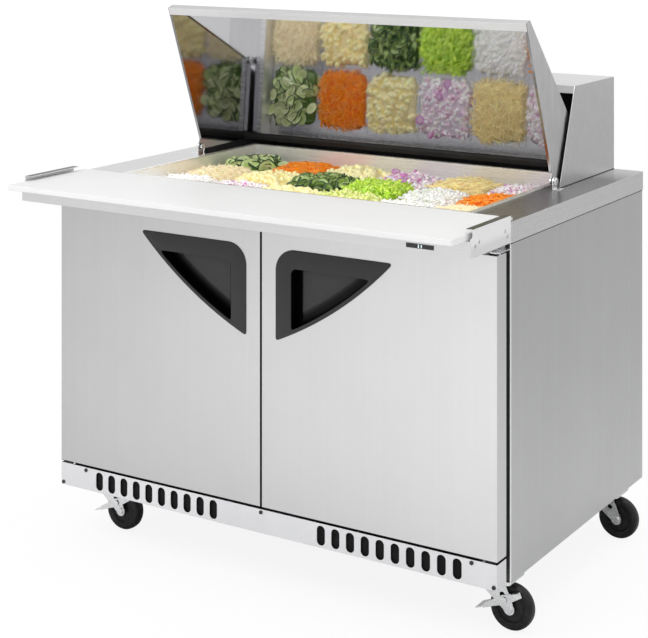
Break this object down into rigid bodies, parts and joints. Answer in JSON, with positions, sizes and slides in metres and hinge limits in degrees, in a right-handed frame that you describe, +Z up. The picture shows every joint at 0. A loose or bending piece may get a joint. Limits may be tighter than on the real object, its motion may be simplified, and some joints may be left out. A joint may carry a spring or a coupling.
{
  "type": "sandwich prep table",
  "caption": "Refrigerated sandwich prep table on swivel casters, with hinged doors, a recessed pan well, a tilting winged lid, a rear housing, a louvred base panel and a cutting board tray.",
  "frame": {"origin": "floor level, at the middle of the plan outline with the casters as posed", "axes": "+Z up, +Y to the back of the table, +X to the right of a person facing the doors"},
  "size_m": [1.294, 1.069, 1.3339],
  "materials": {
    "cabinet_steel": "fine vertical brush, satin",
    "polished_steel": "bright polished stainless",
    "mirror_steel": "mirror-polished stainless",
    "door_steel": "very fine brush, bright satin",
    "grille_coat": "light satin coat",
    "foam": "rigid polyurethane foam",
    "black_plastic": "moulded, fine grain",
    "gasket": "matt black rubber",
    "black_screw": "black oxide",
    "zinc": "bright zinc plate",
    "poly_board": "white polyethylene, matt",
    "display_glass": "gloss black window",
    "shelf_coat": "white epoxy-coated wire",
    "coil_alu": "bare fins",
    "white_plastic": "white moulded",
    "compressor_paint": "black enamel",
    "wheel_rubber": "black polyurethane, satin"
  },
  "bodies": {
    "cabinet": {"cabinet_shell": "cabinet_steel", "cabinet_insulation": "foam", "cabinet_liner": "polished_steel", "front_frame": "black_plastic", "base_rails": "cabinet_steel", "front_grille": "grille_coat", "grille_screws": "black_screw", "worktop": "polished_steel", "worktop_insulation": "foam", "well_rim": "polished_steel", "pan_well": "polished_steel", "pan_divider_bars": "polished_steel", "food_pans": "polished_steel", "board_shelf": "cabinet_steel", "shelf_screws": "zinc", "display": "display_glass", "housing_cover": "cabinet_steel", "lid_hinge_brackets": "zinc", "door_hinge_brackets": "zinc", "wire_shelves": "shelf_coat", "shelf_clips": "zinc", "evaporator_coil": "coil_alu", "evaporator_cover": "white_plastic", "fan_motors": "black_plastic", "compressor": "compressor_paint", "condenser_coil": "coil_alu", "rear_grille": "cabinet_steel", "caster_plates": "zinc"},
    "lid": {"lid_panel": "cabinet_steel", "lid_core": "foam", "lid_liner": "mirror_steel", "lid_wings": "cabinet_steel", "lid_gasket": "gasket", "lid_pins": "zinc"},
    "door_left": {"door_left_skin": "door_steel", "door_left_core": "foam", "door_left_liner": "white_plastic", "door_left_gasket": "gasket", "door_left_handle": "black_plastic", "door_left_hinge_pins": "zinc"},
    "door_right": {"door_right_skin": "door_steel", "door_right_core": "foam", "door_right_liner": "white_plastic", "door_right_gasket": "gasket", "door_right_handle": "black_plastic", "door_right_hinge_pins": "zinc"},
    "cutting_board": {"cutting_board": "poly_board"},
    "caster_fl_fork": {"caster_fl_fork": "zinc"},
    "caster_fl_wheel": {"caster_fl_wheel": "wheel_rubber"},
    "caster_fl_pedal": {"caster_fl_pedal": "zinc"},
    "caster_fr_fork": {"caster_fr_fork": "zinc"},
    "caster_fr_wheel": {"caster_fr_wheel": "wheel_rubber"},
    "caster_fr_pedal": {"caster_fr_pedal": "zinc"},
    "caster_rl_fork": {"caster_rl_fork": "zinc"},
    "caster_rl_wheel": {"caster_rl_wheel": "wheel_rubber"},
    "caster_rr_fork": {"caster_rr_fork": "zinc"},
    "caster_rr_wheel": {"caster_rr_wheel": "wheel_rubber"},
    "evaporator_fan": {"evaporator_fan": "black_plastic"},
    "condenser_fan": {"condenser_fan": "black_plastic"}
  },
  "joints": [
    {"name": "lid_tilt", "type": "hinge", "parent": "cabinet", "child": "lid", "pos_m": [0, 0.1615, 0.934], "axis": [1, 0, 0], "range_deg": [0, 68.7]},
    {"name": "door_left_swing", "type": "hinge", "parent": "cabinet", "child": "door_left", "pos_m": [-0.605, -0.303, 0.526], "axis": [0, 0, -1], "range_deg": [0, 110]},
    {"name": "door_right_swing", "type": "hinge", "parent": "cabinet", "child": "door_right", "pos_m": [0.605, -0.303, 0.526], "axis": [0, 0, 1], "range_deg": [0, 110]},
    {"name": "board_slide", "type": "slide", "parent": "cabinet", "child": "cutting_board", "axis": [0, -1, 0], "range_m": [0, 0.15]},
    {"name": "caster_fl_swivel", "type": "hinge", "parent": "cabinet", "child": "caster_fl_fork", "pos_m": [-0.546, -0.2145, 0.105], "axis": [0, 0, 1], "continuous": true},
    {"name": "caster_fl_spin", "type": "hinge", "parent": "caster_fl_fork", "child": "caster_fl_wheel", "pos_m": [-0.496, -0.2145, 0.051], "axis": [0, 1, 0], "continuous": true},
    {"name": "caster_fl_brake", "type": "hinge", "parent": "caster_fl_fork", "child": "caster_fl_pedal", "pos_m": [-0.506, -0.2385, 0.071], "axis": [0, 1, 0], "range_deg": [-12, 0]},
    {"name": "caster_fr_swivel", "type": "hinge", "parent": "cabinet", "child": "caster_fr_fork", "pos_m": [0.546, -0.2145, 0.105], "axis": [0, 0, 1], "continuous": true},
    {"name": "caster_fr_spin", "type": "hinge", "parent": "caster_fr_fork", "child": "caster_fr_wheel", "pos_m": [0.596, -0.2145, 0.051], "axis": [0, 1, 0], "continuous": true},
    {"name": "caster_fr_brake", "type": "hinge", "parent": "caster_fr_fork", "child": "caster_fr_pedal", "pos_m": [0.586, -0.2385, 0.071], "axis": [0, 1, 0], "range_deg": [-12, 0]},
    {"name": "caster_rl_swivel", "type": "hinge", "parent": "cabinet", "child": "caster_rl_fork", "pos_m": [-0.546, 0.4155, 0.105], "axis": [0, 0, 1], "continuous": true},
    {"name": "caster_rl_spin", "type": "hinge", "parent": "caster_rl_fork", "child": "caster_rl_wheel", "pos_m": [-0.596, 0.4155, 0.051], "axis": [0, 1, 0], "continuous": true},
    {"name": "caster_rr_swivel", "type": "hinge", "parent": "cabinet", "child": "caster_rr_fork", "pos_m": [0.546, 0.4155, 0.105], "axis": [0, 0, 1], "continuous": true},
    {"name": "caster_rr_spin", "type": "hinge", "parent": "caster_rr_fork", "child": "caster_rr_wheel", "pos_m": [0.596, 0.4155, 0.051], "axis": [0, 1, 0], "continuous": true},
    {"name": "evaporator_fan_spin", "type": "hinge", "parent": "cabinet", "child": "evaporator_fan", "pos_m": [0, 0.3638, 0.618], "axis": [0, 1, 0], "continuous": true},
    {"name": "condenser_fan_spin", "type": "hinge", "parent": "cabinet", "child": "condenser_fan", "pos_m": [0.25, 0.403, 0.265], "axis": [0, 1, 0], "continuous": true}
  ]
}
